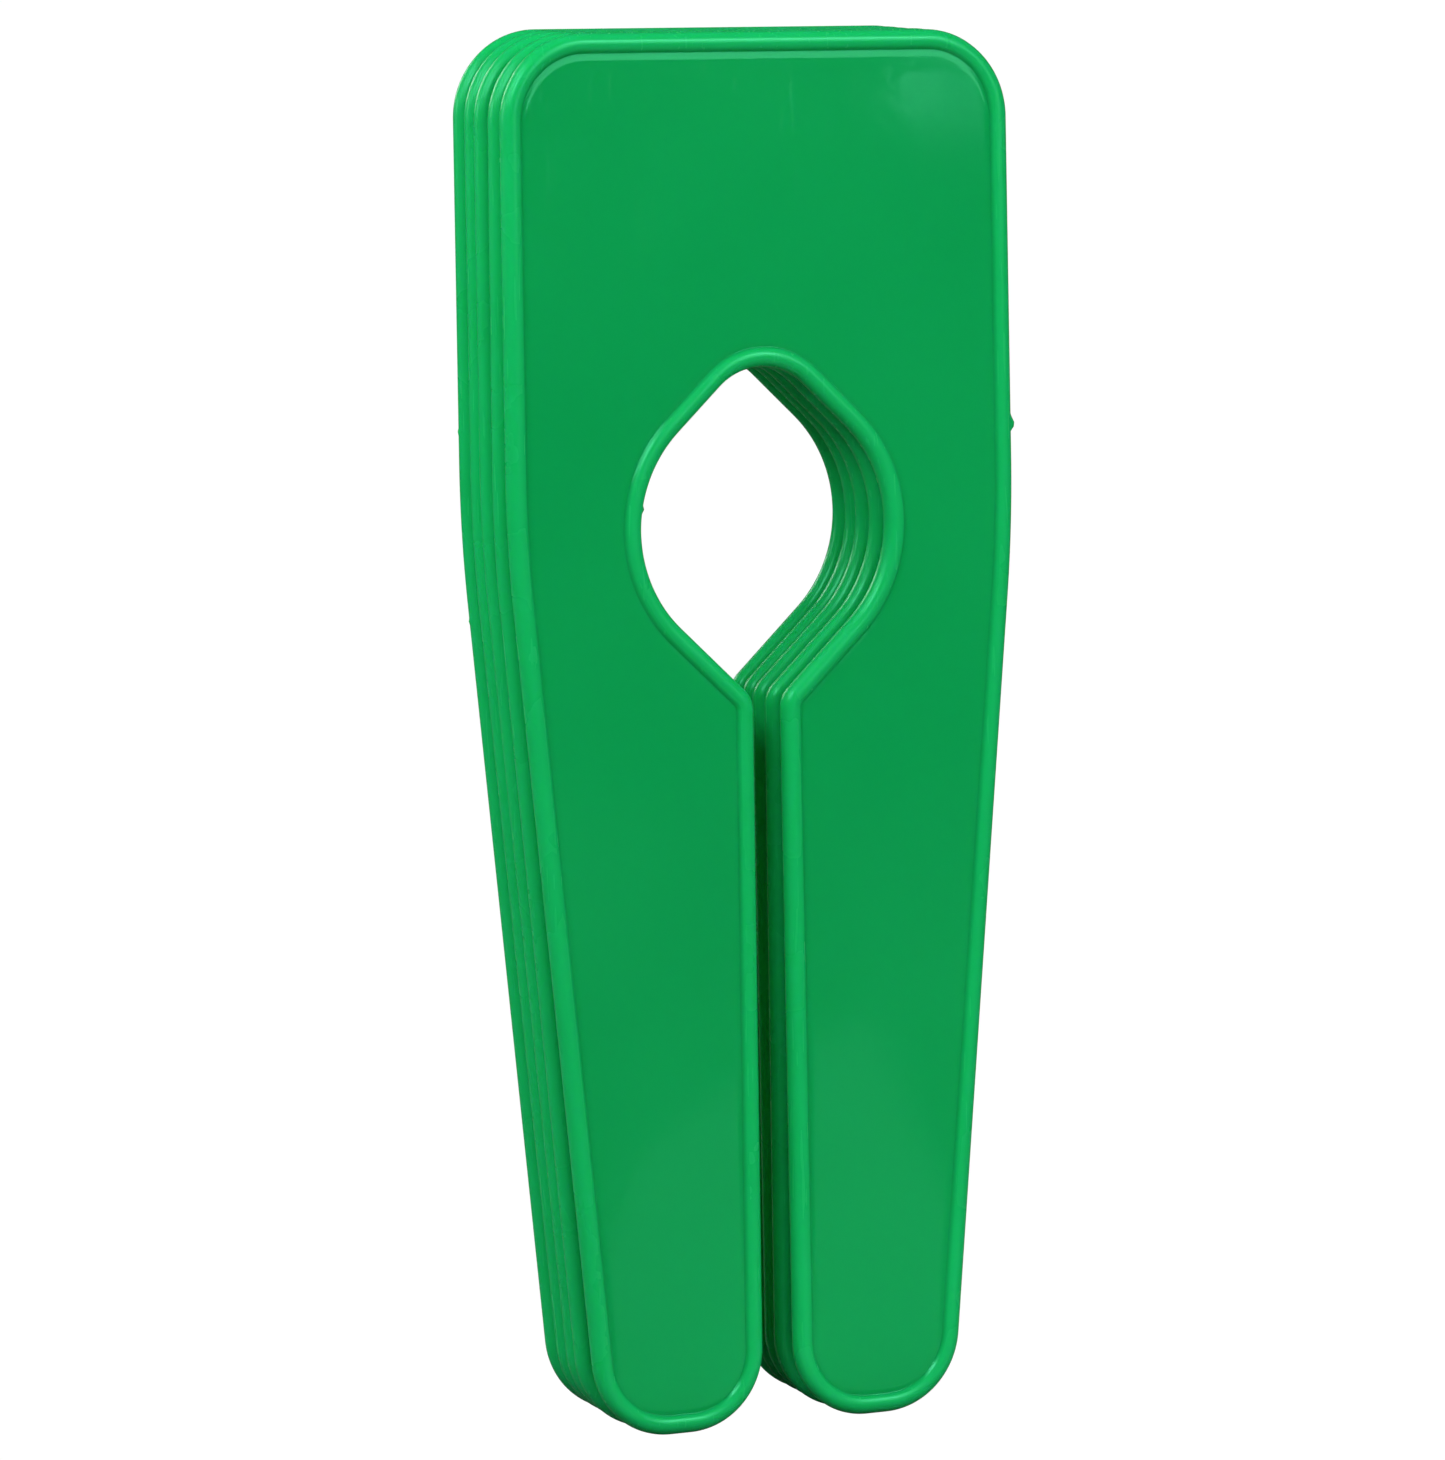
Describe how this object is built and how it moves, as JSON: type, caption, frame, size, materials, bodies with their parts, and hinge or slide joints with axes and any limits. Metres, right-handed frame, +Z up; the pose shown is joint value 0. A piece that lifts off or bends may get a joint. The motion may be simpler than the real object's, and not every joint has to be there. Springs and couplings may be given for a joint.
{
  "type": "clothes rail divider set",
  "caption": "Stack of flat rounded plastic rail dividers, each with a keyhole that clips over a round clothes rail, a slit to its foot and a bead round its edge.",
  "frame": {"origin": "on the surface that the stack stands on, under the middle of its width and depth", "axes": "+Z up the dividers' long axis, -Y the front of the stack and the way each divider slides off along the rail, +X to the right as seen from the front"},
  "size_m": [0.0515, 0.0132, 0.1306],
  "materials": {
    "green_plastic": "smooth glossy moulded plastic, the same green all through"
  },
  "bodies": {
    "rear_divider": {"divider_1": "green_plastic"},
    "second_divider": {"divider_2": "green_plastic"},
    "middle_divider": {"divider_3": "green_plastic"},
    "fourth_divider": {"divider_4": "green_plastic"},
    "front_divider": {"divider_5": "green_plastic"}
  },
  "joints": [
    {"name": "second_divider_slide", "type": "slide", "parent": "rear_divider", "child": "second_divider", "axis": [0, -1, 0], "range_m": [0, 0.06]},
    {"name": "middle_divider_slide", "type": "slide", "parent": "second_divider", "child": "middle_divider", "axis": [0, -1, 0], "range_m": [0, 0.06]},
    {"name": "fourth_divider_slide", "type": "slide", "parent": "middle_divider", "child": "fourth_divider", "axis": [0, -1, 0], "range_m": [0, 0.06]},
    {"name": "front_divider_slide", "type": "slide", "parent": "fourth_divider", "child": "front_divider", "axis": [0, -1, 0], "range_m": [0, 0.06]}
  ]
}
